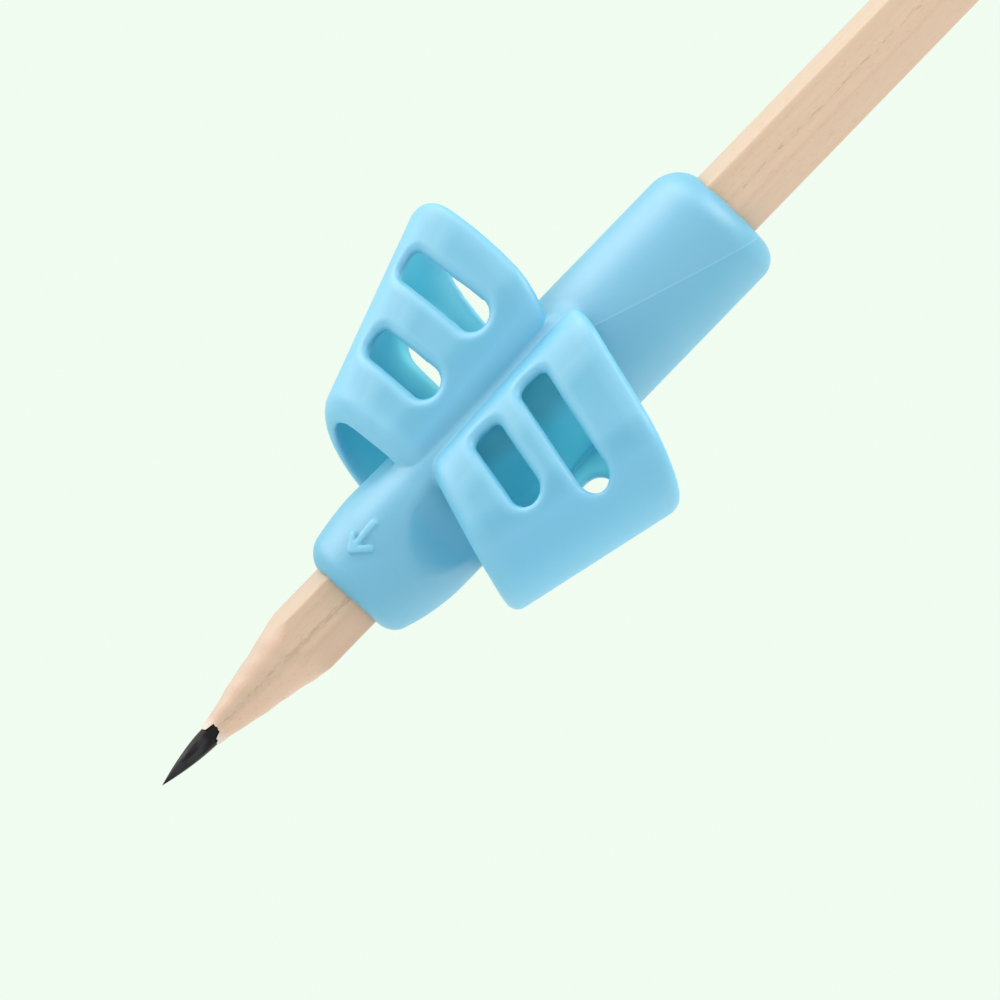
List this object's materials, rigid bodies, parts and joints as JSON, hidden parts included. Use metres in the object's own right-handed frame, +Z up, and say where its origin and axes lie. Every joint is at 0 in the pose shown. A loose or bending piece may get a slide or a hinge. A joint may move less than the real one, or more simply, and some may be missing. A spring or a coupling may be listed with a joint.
{
  "type": "pencil grip",
  "caption": "Soft silicone training grip with a finger pocket on each side of a sleeve, slid on a sharpened hexagonal wooden pencil.",
  "frame": {"origin": "on the pencil's axis at the middle of the grip's sleeve, between the two fingers that hold it", "axes": "+X along the pencil from its point to its tail, +Z up out of the ridge between the finger pockets, +Y towards the index finger's pocket"},
  "size_m": [0.1746, 0.0438, 0.0182],
  "materials": {
    "silicone": "soft matte moulded silicone, sky blue",
    "wood": "plain unpainted pale wood",
    "graphite": "fired graphite and clay, dull sheen"
  },
  "bodies": {
    "pencil": {"slat_upper": "wood", "slat_lower": "wood", "lead": "graphite"},
    "grip": {"grip": "silicone"}
  },
  "joints": [
    {"name": "grip_slide", "type": "slide", "parent": "pencil", "child": "grip", "axis": [1, 0, 0], "range_m": [-0.005, 0.094]}
  ]
}
